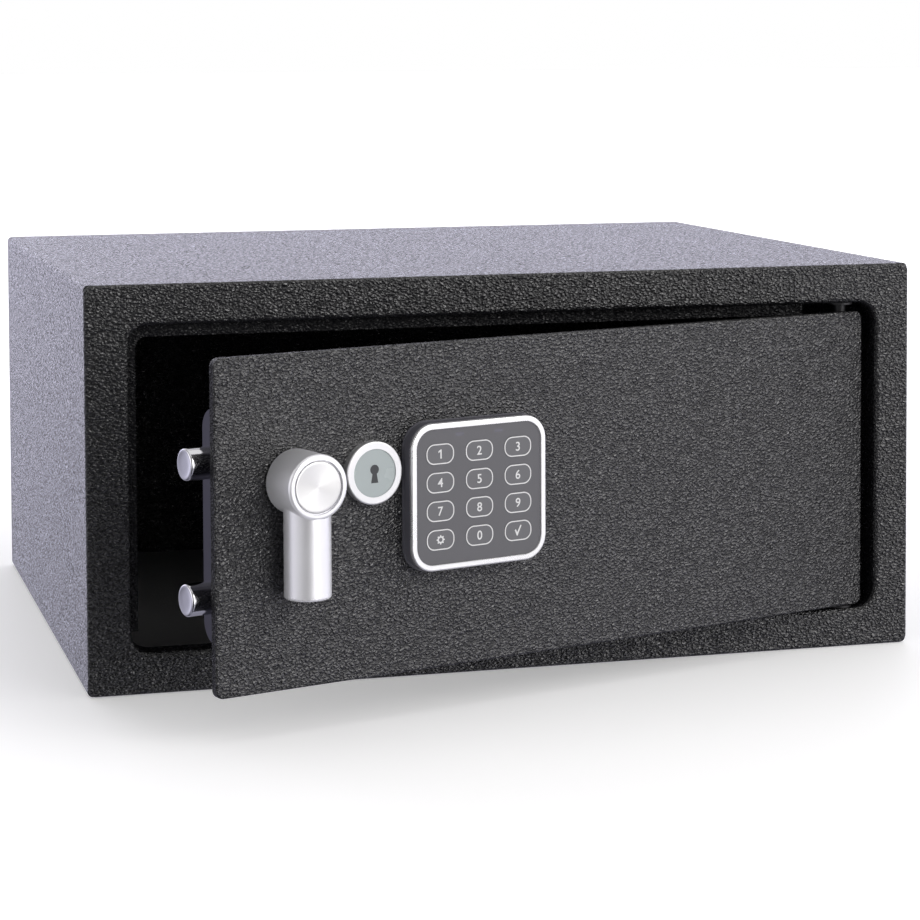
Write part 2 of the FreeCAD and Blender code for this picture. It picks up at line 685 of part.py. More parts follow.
def plunger_spring():
    """Coil spring between the solenoid frame and the plunger's collar."""
    low = SOLENOID_HIGH + SPRING_WIRE_R + RUNNING_FIT
    high = COLLAR_LOW - SPRING_WIRE_R - RUNNING_FIT
    steps = 16 * SPRING_TURNS
    points = []
    for step in range(steps + 1):
        angle = 2 * math.pi * SPRING_TURNS * step / steps
        x = SOLENOID_X + SPRING_R * math.cos(angle)
        depth = SOLENOID_DEPTH + SPRING_R * math.sin(angle)
        points.append((x, depth, low + (high - low) * step / steps))
    return tube_through(points, SPRING_WIRE_R)


def lock_barrel():
    """Body of the override lock, with a flange that rests on the door's face."""
    barrel = rod_y(LOCK_X, LOCK_Z, BARREL_R, 0, BARREL_BACK)
    flange = rod_y(LOCK_X, LOCK_Z, BARREL_R + 1.5, BARREL_FRONT, 0)
    bore = rod_y(LOCK_X, LOCK_Z, PLUG_R, BARREL_FRONT, BARREL_BACK)
    return barrel.fuse(flange).removeSplitter().cut(bore)


def lock_nut():
    """Large nut that clamps the barrel to the door."""
    return hex_nut(LOCK_X, LOCK_Z, 24, BARREL_R, BRACKET_BACK, BRACKET_BACK + 3.5)


def lock_plug():
    """Turning plug with a keyway and a square tail."""
    plug = rod_y(LOCK_X, LOCK_Z, PLUG_R - RUNNING_FIT, BARREL_FRONT, BARREL_BACK)
    keyway = box(LOCK_X - 1, LOCK_X + 1, BARREL_FRONT, BARREL_BACK - 4, LOCK_Z - 4, LOCK_Z + 4)
    return plug.fuse(plug_tail()).removeSplitter().cut(keyway)


def plug_tail():
    """Square tail of the plug, which also makes the square hole in the cam."""
    return box(LOCK_X - 3, LOCK_X + 3, BARREL_BACK, PLUG_TAIL, LOCK_Z - 3, LOCK_Z + 3)


def lock_cam():
    """Short arm on the plug's tail that releases the bolts by key."""
    arm = centred_slab(LOCK_X, LOCK_Z + 5, 12, 24, CAM_FRONT, CAM_BACK, 5.9)
    return arm.cut(plug_tail())


def badge_ring():
    """Rim of the cap that hides the keyhole."""
    ring = rod_y(LOCK_X, LOCK_Z, BADGE_R, -BADGE_HEIGHT, 0)
    ring = round_off(ring, 0.8, lambda edge: at_depth(edge, -BADGE_HEIGHT))
    return ring.cut(rod_y(LOCK_X, LOCK_Z, BADGE_DISC_R, -BADGE_HEIGHT, 0))


def badge_disc():
    """Flat disc set just below the cap's rim."""
    return rod_y(LOCK_X, LOCK_Z, BADGE_DISC_R, -BADGE_HEIGHT + 0.5, BARREL_FRONT - 0.4)


# ---------------------------------------------------------------- handle and bolts
def handle_casting():
    """Round hub and hanging lever in one casting, hollowed in front for its cap."""
    hub = rod_y(HANDLE_X, HANDLE_Z, HUB_R, HUB_FRONT, -WASHER)
    hub = round_off(hub, HUB_EDGE_R, lambda edge: at_depth(edge, HUB_FRONT))
    lever_end = HANDLE_Z - LEVER_LENGTH
    lever = rod_z(HANDLE_X, LEVER_DEPTH, LEVER_R, lever_end, HANDLE_Z)
    lever = round_off(lever, LEVER_EDGE_R, lambda edge: edge.BoundBox.ZMax < lever_end + 0.01)
    casting = hub.fuse(lever).removeSplitter()
    casting = casting.cut(rod_y(HANDLE_X, HANDLE_Z, CAP_RECESS_R, HUB_FRONT, CAP_BACK))
    return casting.cut(rod_y(HANDLE_X, HANDLE_Z, SPINDLE_R, SPINDLE_FRONT, 0))


def handle_cap():
    """Spun metal disc in the front of the hub."""
    cap = rod_y(HANDLE_X, HANDLE_Z, CAP_R, CAP_FRONT, CAP_BACK)
    return bevel(cap, 0.4, lambda edge: at_depth(edge, CAP_FRONT))


def handle_washer():
    """Thin plastic washer between the hub and the door."""
    disc = rod_y(HANDLE_X, HANDLE_Z, HUB_R - 1.5, -WASHER, 0)
    return disc.cut(rod_y(HANDLE_X, HANDLE_Z, SPINDLE_R, -WASHER, 0))


def handle_spindle():
    """Shaft from the hub through the door to the crank."""
    return rod_y(HANDLE_X, HANDLE_Z, SPINDLE_R, SPINDLE_FRONT, CRANK_BACK)


def handle_clip():
    """Retaining ring that stops the spindle pulling out."""
    ring = rod_y(HANDLE_X, HANDLE_Z, CLIP_R, CLIP_FRONT, CLIP_BACK)
    gap = box(HANDLE_X - 1.5, HANDLE_X + 1.5, CLIP_FRONT, CLIP_BACK, HANDLE_Z - CLIP_R, HANDLE_Z)
    return ring.cut(rod_y(HANDLE_X, HANDLE_Z, SPINDLE_R, CLIP_FRONT, CLIP_BACK)).cut(gap)


def crank_pin_place():
    """x and z of the crank pin with the lever hanging down."""
    angle = math.radians(HANDLE_TURN / 2)
    return HANDLE_X - CRANK_R * math.sin(angle), HANDLE_Z + CRANK_R * math.cos(angle)


def bolt_crank():
    """Crank on the spindle, with a pin that drives the carriage."""
    pin_x, pin_z = crank_pin_place()
    arm = rod_y(HANDLE_X, HANDLE_Z, 2 * SPINDLE_R + 0.5, CRANK_FRONT, CRANK_BACK)
    arm = arm.fuse(rod_y(pin_x, pin_z, CRANK_PIN_R + 2, CRANK_FRONT, CRANK_BACK)).removeSplitter()
    arm = arm.cut(rod_y(HANDLE_X, HANDLE_Z, SPINDLE_R, CRANK_FRONT, CRANK_BACK))
    pin = rod_y(pin_x, pin_z, CRANK_PIN_R, CRANK_BACK - 0.2, CARRIAGE_BACK + 0.8)
    return arm.fuse(pin).removeSplitter()


def carriage_slots():
    """Openings for the crank pin, the guide stud and the plunger, made right through the plate."""
    front = CARRIAGE_FRONT - 1
    back = CARRIAGE_BACK + 1
    pin_x, pin_z = crank_pin_place()
    half = CRANK_PIN_R + CRANK_SLOT_SLACK
    crank_slot = slab(pin_x - half, pin_x + half, pin_z - half - 0.4, HANDLE_Z + CRANK_R + half + 0.4,
                      front, back, half - 0.05)
    guide_half = GUIDE_R + RUNNING_FIT
    guide_slot = slab(GUIDE_X - BOLT_THROW - GUIDE_R - 0.5, GUIDE_X + GUIDE_R + 0.5,
                      TAIL_MIDDLE_Z - guide_half, TAIL_MIDDLE_Z + guide_half, front, back, GUIDE_R)
    notch_half = PLUNGER_R + 0.3
    notch = box(SOLENOID_X - notch_half, SOLENOID_X + notch_half, front, back,
                TAIL_LOW - 1, TAIL_LOW + PLUNGER_TRAVEL + 1)
    return crank_slot, guide_slot, notch


def bolt_carriage():
    """Folded plate that carries both bolts, with slots for the crank pin and the guide stud."""
    body = box(CARRIAGE_LEFT, CARRIAGE_RIGHT, CARRIAGE_FRONT, CARRIAGE_BACK, CARRIAGE_LOW, CARRIAGE_HIGH)
    tail = box(CARRIAGE_RIGHT - 1, TAIL_RIGHT, CARRIAGE_FRONT, CARRIAGE_BACK, TAIL_LOW, TAIL_HIGH)
    flange = box(CARRIAGE_LEFT, CARRIAGE_LEFT + SHEET, CARRIAGE_FRONT, CARRIAGE_FLANGE_BACK,
                 CARRIAGE_LOW, CARRIAGE_HIGH)
    carriage = body.fuse([tail, flange]).removeSplitter()
    for opening in carriage_slots():
        carriage = carriage.cut(opening)
    for z in BOLT_HEIGHTS:
        carriage = carriage.cut(rod_x(CARRIAGE_LEFT, CARRIAGE_LEFT + SHEET, BOLT_DEPTH, z, BOLT_SCREW_R))
    return carriage


def locking_bolts():
    """Two round steel bolts with bevelled tips."""
    bolts = []
    for z in BOLT_HEIGHTS:
        bolt = rod_x(BOLT_TIP, CARRIAGE_LEFT, BOLT_DEPTH, z, BOLT_R)
        bolt = bevel(bolt, BOLT_TIP_BEVEL, lambda edge: edge.BoundBox.XMax < BOLT_TIP + 0.01)
        bore_start = CARRIAGE_LEFT - BOLT_SCREW_LENGTH - 1
        bolts.append(bolt.cut(rod_x(bore_start, CARRIAGE_LEFT, BOLT_DEPTH, z, BOLT_SCREW_R)))
    return Part.makeCompound(bolts)


def bolt_screws():
    """Screws that fasten the bolts to the carriage."""
    screws = []
    head_start = CARRIAGE_LEFT + SHEET
    for z in BOLT_HEIGHTS:
        shank = rod_x(CARRIAGE_LEFT - BOLT_SCREW_LENGTH, head_start, BOLT_DEPTH, z, BOLT_SCREW_R)
        head = rod_x(head_start, head_start + 3, BOLT_DEPTH, z, BOLT_SCREW_HEAD_R)
        screws.append(shank.fuse(head).removeSplitter())
    return Part.makeCompound(screws)


# ---------------------------------------------------------------- keypad
def keypad_slab(inset, d0, d1):
    """The keypad's outline, drawn in by the given distance."""
    return centred_slab(KEYPAD_X, KEYPAD_Z, KEYPAD_WIDTH - 2 * inset, KEYPAD_HEIGHT - 2 * inset,
                        d0, d1, KEYPAD_CORNER - inset)


def keypad_housing():
    """Dark tray with a thin lip against the door and two screw bosses."""
    lip = keypad_slab(-HOUSING_LIP, HOUSING_LIP_FRONT, 0)
    tray = keypad_slab(0, HOUSING_FRONT, 0).fuse(lip).removeSplitter()
    tray = tray.cut(keypad_slab(HOUSING_WALL, HOUSING_FRONT, KEYPAD_FLOOR))
    for x in keypad_screw_columns():
        tray = tray.fuse(rod_y(x, KEYPAD_Z, KEYPAD_SCREW_R + 1.1, KEYPAD_BOSS_FRONT, KEYPAD_FLOOR + 0.2))
    tray = tray.removeSplitter().cut(cable_slot(KEYPAD_FLOOR, 0))
    for x in keypad_screw_columns():
        tray = tray.cut(rod_y(x, KEYPAD_Z, KEYPAD_SCREW_R, KEYPAD_SCREW_FRONT, 0))
    return tray


def keypad_screws():
    """Screws that hold the keypad from behind the door."""
    screws = []
    for x in keypad_screw_columns():
        shank = rod_y(x, KEYPAD_Z, KEYPAD_SCREW_R, KEYPAD_SCREW_FRONT, DOOR_THICKNESS)
        head = rod_y(x, KEYPAD_Z, KEYPAD_SCREW_R + 1.3, DOOR_THICKNESS, DOOR_THICKNESS + 2)
        screws.append(shank.fuse(head).removeSplitter())
    return Part.makeCompound(screws)


def keypad_bezel():
    """Bright ring round the keypad's front edge."""
    ring = keypad_slab(0.15, BEZEL_FRONT, HOUSING_FRONT)
    ring = round_off(ring, BEZEL_EDGE_R, lambda edge: at_depth(edge, BEZEL_FRONT))
    ring = ring.cut(keypad_slab(BEZEL_WIDTH, BEZEL_FRONT, HOUSING_FRONT))
    return bevel(ring, 0.25, lambda edge: at_depth(edge, BEZEL_FRONT) and near_axis(
        edge, KEYPAD_X, KEYPAD_Z, KEYPAD_WIDTH / 2 - BEZEL_WIDTH + 0.1))


def key_places():
    """Name, x and z of every key, from the top row down."""
    places = []
    for row, names in enumerate(KEY_NAMES):
        for column, name in enumerate(names):
            x = KEYPAD_X + (column - 1) * KEY_COLUMN_PITCH
            places.append((name, x, KEY_TOP_ROW_Z - row * KEY_ROW_PITCH))
    return places


def led_places():
    """x of the two status windows above the keys."""
    return (KEYPAD_X - KEY_COLUMN_PITCH / 2, KEYPAD_X + KEY_COLUMN_PITCH / 2)


def keypad_panel():
    """Front panel with an opening for each key and each status window."""
    panel = keypad_slab(BEZEL_WIDTH, PANEL_FRONT, PANEL_BACK)
    for _, x, z in key_places():
        grow = 2 * KEY_CLEARANCE
        opening = centred_slab(x, z, KEY_WIDTH + grow, KEY_HEIGHT + grow, PANEL_FRONT, PANEL_BACK,
                               KEY_CORNER + KEY_CLEARANCE)
        panel = panel.cut(opening)
    for x in led_places():
        panel = panel.cut(led_window(x))
    return panel


def led_window(x):
    """One small status window."""
    return centred_slab(x, KEY_TOP_ROW_Z + LED_HEIGHT, 4.6, 1.8, PANEL_FRONT, PANEL_BACK, 0.5)


def led_windows():
    return Part.makeCompound([led_window(x) for x in led_places()])


def keypad_board():
    """Switch board in the bottom of the tray."""
    return centred_slab(KEYPAD_X, KEYPAD_Z, SWITCH_WIDTH, SWITCH_HEIGHT, SWITCH_BOARD_FRONT, KEYPAD_FLOOR, 3)


def key_mat():
    """Rubber switch mat under the keys."""
    return centred_slab(KEYPAD_X, KEYPAD_Z, SWITCH_WIDTH, SWITCH_HEIGHT, KEY_MAT_FRONT, SWITCH_BOARD_FRONT, 3)


def key_button(x, z):
    """A key with a skirt behind the panel that keeps it from falling out."""
    top = centred_slab(x, z, KEY_WIDTH, KEY_HEIGHT, PANEL_FRONT - 0.1, PANEL_BACK + 0.1, KEY_CORNER)
    skirt = centred_slab(x, z, KEY_WIDTH + 2 * KEY_SKIRT, KEY_HEIGHT + 2 * KEY_SKIRT,
                         PANEL_BACK + 0.05, PANEL_BACK + 0.55, KEY_CORNER + KEY_SKIRT)
    return top.fuse(skirt).removeSplitter()


# ---------------------------------------------------------------- assembly
def door_parts():
    """Everything that swings with the door, drawn with the door closed."""
    parts = {
        "door_plate": door_plate(),
        "hinge_blocks": hinge_blocks(),
        "hinge_pins": hinge_pins(),
        "door_studs": door_studs(),
        "stud_nuts": stud_nuts(),
        "lock_bracket": lock_bracket(),
        "inner_cover": inner_cover(),
        "battery_lid": battery_lid(),
        "battery_holder": battery_holder(),
        "batteries": batteries(),
        "battery_contacts": battery_contacts(),
        "battery_wires": battery_wires(),
        "circuit_board": circuit_board(),
        "keypad_cable": keypad_cable(),
        "solenoid_frame": solenoid_frame(),
        "solenoid_coil": solenoid_coil(),
        "solenoid_plunger": solenoid_plunger(),
        "plunger_spring": plunger_spring(),
        "lock_barrel": lock_barrel(),
        "lock_nut": lock_nut(),
        "lock_plug": lock_plug(),
        "lock_cam": lock_cam(),
        "badge_ring": badge_ring(),
        "badge_disc": badge_disc(),
        "handle_casting": handle_casting(),
        "handle_cap": handle_cap(),
        "handle_washer": handle_washer(),
        "handle_spindle": handle_spindle(),
        "handle_clip": handle_clip(),
        "bolt_crank": bolt_crank(),
        "bolt_carriage": bolt_carriage(),
        "locking_bolts": locking_bolts(),
        "bolt_screws": bolt_screws(),
        "keypad_housing": keypad_housing(),
        "keypad_screws": keypad_screws(),
        "keypad_bezel": keypad_bezel(),
        "keypad_panel": keypad_panel(),
        "led_windows": led_windows(),
        "keypad_board": keypad_board(),
        "key_mat": key_mat(),
    }
    for name, x, z in key_places():
        parts[name] = key_button(x, z)
    return parts


def swing_ajar(shape):
    """Turn a closed-door shape about the hinge pins to the rest pose."""
    turned = shape.copy()
    turned.rotate(Vector(HINGE_X, FRONT_Y + HINGE_DEPTH, 0), Vector(0, 0, 1), AJAR_DEGREES)
    return turned


def main():
    os.makedirs("parts", exist_ok=True)
    for name, shape in cabinet_parts().items():
        shape.exportStep("parts/%s.step" % name)
    for name, shape in door_parts().items():
        swing_ajar(shape).exportStep("parts/%s.step" % name)


main()
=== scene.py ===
"""Looks for the in-room safe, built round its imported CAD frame: materials, the print on the keys
and the badge, the handle's spun cap, turned bolts, the felt mat, a plain floor, studio light and
the camera. Lengths are in metres, in the frame's axes."""

import bpy
import bmesh
import json
import math
from mathutils import Matrix, Vector


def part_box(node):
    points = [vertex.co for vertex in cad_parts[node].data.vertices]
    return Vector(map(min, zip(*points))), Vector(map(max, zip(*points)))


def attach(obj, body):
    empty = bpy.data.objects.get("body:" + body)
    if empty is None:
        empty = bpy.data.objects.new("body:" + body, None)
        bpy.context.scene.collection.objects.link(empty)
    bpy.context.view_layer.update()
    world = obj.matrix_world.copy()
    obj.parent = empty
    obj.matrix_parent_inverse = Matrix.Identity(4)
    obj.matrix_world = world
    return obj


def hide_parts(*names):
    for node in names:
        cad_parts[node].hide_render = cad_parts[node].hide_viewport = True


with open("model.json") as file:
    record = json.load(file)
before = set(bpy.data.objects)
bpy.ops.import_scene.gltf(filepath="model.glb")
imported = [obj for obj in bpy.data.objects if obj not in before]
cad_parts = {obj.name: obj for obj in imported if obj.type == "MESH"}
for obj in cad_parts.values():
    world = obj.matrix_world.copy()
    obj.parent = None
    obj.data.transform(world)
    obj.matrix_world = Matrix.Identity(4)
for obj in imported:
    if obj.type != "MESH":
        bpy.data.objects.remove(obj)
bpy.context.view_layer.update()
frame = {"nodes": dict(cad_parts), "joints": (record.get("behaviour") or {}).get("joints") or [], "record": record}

MM = 0.001
NODES = frame["nodes"]
JOINTS = {joint["name"]: joint for joint in frame["joints"]}

# Keypad print
KEYS = [f"key_{digit}" for digit in range(10)] + ["key_settings", "key_enter"]
PRINT_THICKNESS = 0.06 * MM
OUTLINE_INSET = 0.8 * MM
OUTLINE_WIDTH = 0.55 * MM
OUTLINE_RADIUS = 4.3 * MM
FIGURE_HEIGHT = 4.3 * MM
TYPE_SIZE = 1.4 * FIGURE_HEIGHT
TYPE_WEIGHT = 0.05 * MM
GEAR_TEETH = 8
GEAR_TIP_RADIUS = 2.25 * MM
GEAR_ROOT_RADIUS = 1.65 * MM
GEAR_HOLE_RADIUS = 1.0 * MM

# Keyhole sign on the badge, from the badge's middle
SIGN_HEAD_RADIUS = 2.3 * MM
SIGN_HEAD_RISE = 1.6 * MM
SIGN_FOOT_DROP = 4.6 * MM
SIGN_FOOT_HALF_WIDTH = 1.9 * MM

# Turned pieces
CAP_ROUNDING = 0.5 * MM
CAP_DISH = 0.12 * MM
BOLT_ROUNDING = 1.0 * MM
BOLT_DISH = 0.25 * MM
SMOOTH_BELOW = math.radians(30)

# Felt mat, inside the box of the mat that it stands for
MAT_TOP_GAP = 0.25 * MM
MAT_BOTTOM_GAP = 0.15 * MM
MAT_RIPPLE = 0.12 * MM
MAT_RIPPLE_TURNS = (37, 29)     # radians per metre, along X and Y
MAT_EDGE_ROUNDING = 0.6 * MM

# Surroundings: bearing and brightness. Bearing 0 is straight in front, 90 to the right, 180 behind
SURROUNDINGS = ((-180, 1.5), (-160, 1.45), (-130, 0.45), (-95, 1.2), (-50, 0.6), (-22, 0.03), (12, 0.02),
                (19, 1.7), (26, 4.2), (38, 1.3), (60, 1.2), (100, 1.3), (150, 1.1), (172, 1.1), (180, 1.5))
OVERHEAD_GREY = (0.35, 0.35, 0.35)
FRONT_TINT = (1.0, 0.985, 0.985)
BACK_TINT = (0.965, 0.948, 1.155)
WHITE = (1.0, 1.0, 1.0)

# Floor and camera
FLOOR_REACH = 30.0
FLOOR_DROP = 0.2 * MM
CAMERA_PLACE = Vector((-0.3806, -1.4514, 0.3137))
CAMERA_AZIMUTH = math.radians(-15.46)
CAMERA_ELEVATION = math.radians(3.29)
CAMERA_ROLL = math.radians(-0.25)
FOCAL_LENGTH_MM = 104.5
SENSOR_WIDTH_MM = 36.0
LENS_SHIFT = -0.2826
SHIFT_REACH = 20 * MM


# ---------------------------------------------------------------- the door's own axes
def door_matrix():
    """Turns a place on the closed door to where the frame holds it at rest."""
    swing = JOINTS["door_swing"]
    pivot = Vector(swing["pos_m"])
    ajar = -math.radians(swing["range_deg"][0])
    return Matrix.Translation(pivot) @ Matrix.Rotation(ajar, 4, "Z") @ Matrix.Translation(-pivot)


DOOR = door_matrix()


def closed_box(node):
    """Lowest and highest corner of a door part, measured with the door closed."""
    to_closed = DOOR.inverted()
    points = [to_closed @ vertex.co for vertex in NODES[node].data.vertices]
    low = Vector([min(point[axis] for point in points) for axis in range(3)])
    high = Vector([max(point[axis] for point in points) for axis in range(3)])
    return low, high


def front_of(node):
    """Axes at the middle of a door part's front face: X along the door, Y up and Z outwards."""
    low, high = closed_box(node)
    middle = Matrix.Translation(((low.x + high.x) / 2, low.y, (low.z + high.z) / 2))
    return DOOR @ middle @ Matrix.Rotation(math.radians(90), 4, "X")


# ---------------------------------------------------------------- material tools
def add(tree, kind, inputs=None, **settings):
    """Adds a shader node; an input is either a value or a socket to link from."""
    made = tree.nodes.new(kind)
    for name, value in settings.items():
        setattr(made, name, value)
    for name, value in (inputs or {}).items():
        if isinstance(value, bpy.types.NodeSocket):
            tree.links.new(value, made.inputs[name])
        else:
            made.inputs[name].default_value = value
    return made


def new_material(name, colour, metallic, roughness):
    """A material with its Principled shader; returns the material, its tree and the shader."""
    material = bpy.data.materials.new(name)
    material.use_nodes = True
    tree = material.node_tree
    shader = tree.nodes["Principled BSDF"]
    shader.inputs["Base Color"].default_value = (*colour, 1)
    shader.inputs["Metallic"].default_value = metallic
    shader.inputs["Roughness"].default_value = roughness
    return material, tree, shader


def object_place(tree):
    """The point's place in its own object, in metres."""
    return add(tree, "ShaderNodeTexCoord").outputs["Object"]


def scaled(tree, place, scale):
    """Stretches the texture space, by one number for each axis."""
    return add(tree, "ShaderNodeMapping", {"Vector": place, "Scale": scale}).outputs["Vector"]


def noise(tree, place, scale, detail=2.0, rough=0.5, distortion=0.0):
    """Noise from 0 to 1."""
    values = {"Vector": place, "Scale": scale, "Detail": detail, "Roughness": rough,
              "Distortion": distortion}
    return add(tree, "ShaderNodeTexNoise", values).outputs["Fac"]


def maths(tree, operation, *terms):
    """One arithmetic step on sockets or numbers."""
    return add(tree, "ShaderNodeMath", dict(enumerate(terms)), operation=operation).outputs[0]


def remap(tree, value, source, target):
    """Maps one (from, to) range of values to another, clamped."""
    values = {"Value": value, "From Min": source[0], "From Max": source[1],
              "To Min": target[0], "To Max": target[1]}
    return add(tree, "ShaderNodeMapRange", values).outputs["Result"]


def blend_colours(tree, share, first, second, blend_type="MIX"):
    """Mixes two colours, given as sockets or RGB tuples; the share is a socket or a number."""
    first, second = (colour if isinstance(colour, bpy.types.NodeSocket) else (*colour, 1)
                     for colour in (first, second))
    mix = add(tree, "ShaderNodeMix", data_type="RGBA", blend_type=blend_type)
    for index, value in ((0, share), (6, first), (7, second)):
        if isinstance(value, bpy.types.NodeSocket):
            tree.links.new(value, mix.inputs[index])
        else:
            mix.inputs[index].default_value = value
    return mix.outputs[2]


def bump(tree, shader, height, depth):
    """Gives the surface relief of the given depth in metres."""
    normal = add(tree, "ShaderNodeBump", {"Height": height, "Distance": depth, "Strength": 1.0})
    tree.links.new(normal.outputs["Normal"], shader.inputs["Normal"])


def vary_colour(tree, shader, colour, amount, scale):
    """Slow variation of colour; returns the slow noise behind it."""
    slow = noise(tree, object_place(tree), scale, detail=4.0)
    darker = tuple(channel * (1 - amount) for channel in colour)
    lighter = tuple(min(1.0, channel * (1 + amount)) for channel in colour)
    tree.links.new(blend_colours(tree, slow, darker, lighter), shader.inputs["Base Color"])
    return slow


def vary(tree, shader, colour, amount, roughness, spread, scale):
    """Slow variation of colour and roughness, as on any handled or sprayed surface."""
    slow = vary_colour(tree, shader, colour, amount, scale)
    rough = remap(tree, slow, (0.3, 0.7), (roughness - spread, roughness + spread))
    tree.links.new(rough, shader.inputs["Roughness"])


# ---------------------------------------------------------------- materials
def leather_height(tree, place):
    """Relief of the wrinkled powder coat: worm-like ridges broken up by fine creases."""
    along = scaled(tree, place, (0.68, 1.0, 1.0))
    worms = noise(tree, along, 840.0, detail=1.0, rough=0.35, distortion=0.8)
    cells = add(tree, "ShaderNodeTexVoronoi", {"Vector": along, "Scale": 610.0},
                feature="DISTANCE_TO_EDGE").outputs["Distance"]
    folds = remap(tree, cells, (0.0, 0.35), (0.0, 0.7))
    ridges = remap(tree, worms, (0.3, 0.7), (0.0, 0.8))
    return maths(tree, "ADD", folds, ridges)


def textured_coat(name, shine, shaded_edge=0.0):
    """Black wrinkle-finish powder coat, smoother on its ridges. Its creases take painted shade: they lose
    half their gloss face on and nearly all of it at a low angle.

    A shaded edge is the share of its gloss that the coat loses, as painted shade, on faces that look left."""
    colour = (0.006, 0.006, 0.007)
    material, tree, shader = new_material(name, colour, 0.0, 0.3)
    vary_colour(tree, shader, colour, amount=0.25, scale=9.0)
    relief = leather_height(tree, object_place(tree))
    # Painted shade: the creases lose gloss, more so at a low angle, as if the ridges shadowed them
    creases = remap(tree, relief, (0.45, 0.8), (1.0, 0.0))
    turned_away = add(tree, "ShaderNodeLayerWeight", {"Blend": 0.5}).outputs["Facing"]
    depth = remap(tree, turned_away, (0.2, 0.75), (0.5, 0.992))
    shadow = maths(tree, "MULTIPLY", creases, depth)
    # Painted shade on faces that look to the left, such as the door's free edge
    if shaded_edge:
        normal = add(tree, "ShaderNodeTexCoord").outputs["Normal"]
        leftwards = add(tree, "ShaderNodeSeparateXYZ", {0: normal}).outputs["X"]
        edge_shadow = remap(tree, leftwards, (-0.9, -0.7), (shaded_edge, 0.0))
        shadow = maths(tree, "MAXIMUM", shadow, edge_shadow)
    gloss = remap(tree, shadow, (0.0, 1.0), (shine, 0.0))
    roughness = remap(tree, relief, (0.3, 1.3), (0.3, 0.12))
    tree.links.new(gloss, shader.inputs["Specular IOR Level"])
    tree.links.new(roughness, shader.inputs["Roughness"])
    bump(tree, shader, relief, 0.4 * MM)
    return material


def plain_paint(name, colour, roughness):
    """Smooth paint with faint orange peel."""
    material, tree, shader = new_material(name, colour, 0.0, roughness)
    vary(tree, shader, colour, amount=0.08, roughness=roughness, spread=0.05, scale=14.0)
    bump(tree, shader, noise(tree, object_place(tree), 420.0), 0.05 * MM)
    return material


def metal(name, colour, roughness, stretch=(1, 1, 1), grain=0.012, metallic=1.0):
    """Bare or plated metal with a fine grain, in mm deep, that can run one way.

    Less metallic is more powdery."""
    material, tree, shader = new_material(name, colour, metallic, roughness)
    vary(tree, shader, colour, amount=0.06, roughness=roughness, spread=0.04, scale=40.0)
    lines = noise(tree, scaled(tree, object_place(tree), stretch), 2400.0, detail=3.0)
    bump(tree, shader, lines, grain * MM)
    return material


def plastic(name, colour, roughness, grain=0.02):
    """Moulded plastic or rubber with a fine mould texture, in mm deep."""
    material, tree, shader = new_material(name, colour, 0.0, roughness)
    vary(tree, shader, colour, amount=0.06, roughness=roughness, spread=0.05, scale=60.0)
    bump(tree, shader, noise(tree, object_place(tree), 2600.0), grain * MM)
    return material


def felt():
    """Needled felt: short tangled fibres."""
    colour = (0.012, 0.012, 0.014)
    material, tree, shader = new_material("felt", colour, 0.0, 0.95)
    vary(tree, shader, colour, amount=0.5, roughness=0.92, spread=0.05, scale=300.0)
    tangled = scaled(tree, object_place(tree), (1.0, 3.0, 1.0))
    bump(tree, shader, noise(tree, tangled, 1300.0, detail=5.0, rough=0.7), 0.5 * MM)
    shader.inputs["Sheen Weight"].default_value = 0.3
    return material


def spun_metal():
    """Metal turned on a lathe: fine rings about the piece's own Z, with the fanned highlight."""
    material, tree, shader = new_material("spun_silver", (0.78, 0.78, 0.775), 1.0, 0.3)
    shader.inputs["Anisotropic"].default_value = 0.85
    tangent = add(tree, "ShaderNodeTangent", direction_type="RADIAL", axis="Z").outputs["Tangent"]
    tree.links.new(tangent, shader.inputs["Tangent"])
    rings = add(tree, "ShaderNodeTexWave", {"Vector": object_place(tree), "Scale": 1100.0,
                "Distortion": 1.5}, wave_type="RINGS", rings_direction="Z").outputs["Fac"]
    bump(tree, shader, rings, 0.004 * MM)
    return material


def battery_sleeve():
    """Dark shrink sleeve with a slight sheen of metal."""
    colour = (0.03, 0.03, 0.035)
    material, tree, shader = new_material("battery_sleeve", colour, 0.3, 0.3)
    vary(tree, shader, colour, amount=0.2, roughness=0.3, spread=0.05, scale=80.0)
    return material


def board():
    """Green solder mask over faint copper tracks."""
    material, tree, shader = new_material("board_green", (0.01, 0.09, 0.03), 0.0, 0.3)
    tracks = add(tree, "ShaderNodeTexBrick", {"Vector": object_place(tree), "Scale": 180.0,
                 "Color1": (0.01, 0.10, 0.035, 1), "Color2": (0.008, 0.08, 0.03, 1),
                 "Mortar": (0.03, 0.17, 0.06, 1)}).outputs["Color"]
    tree.links.new(tracks, shader.inputs["Base Color"])
    return material


